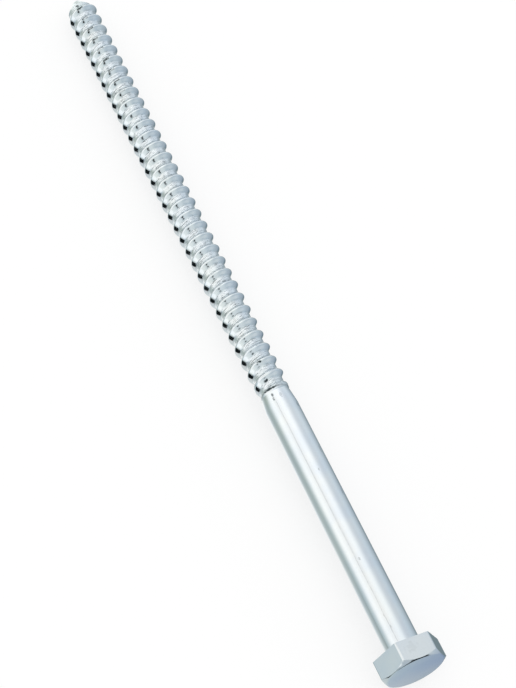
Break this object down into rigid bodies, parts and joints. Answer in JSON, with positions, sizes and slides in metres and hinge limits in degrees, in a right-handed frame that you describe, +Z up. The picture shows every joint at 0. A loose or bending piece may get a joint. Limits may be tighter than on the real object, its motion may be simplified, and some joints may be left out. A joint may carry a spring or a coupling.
{
  "type": "lag screw",
  "caption": "Hexagon-head lag screw with a plain shank, a coarse helical wood thread and a conical point.",
  "frame": {"origin": "centre of the bounding box in X and Y, on the surface the screw lies on", "axes": "+X runs along the screw from the head to the point, tipped 0.8 degrees down as the screw rests on a flat of its head and on its thread; +Z up"},
  "size_m": [0.253, 0.0192, 0.0168],
  "materials": {
    "zinc_plate": "bright zinc plate, smooth on the shank and head, finely chattered in the thread's roots"
  },
  "bodies": {
    "root": {"lag_screw": "zinc_plate"}
  },
  "joints": []
}
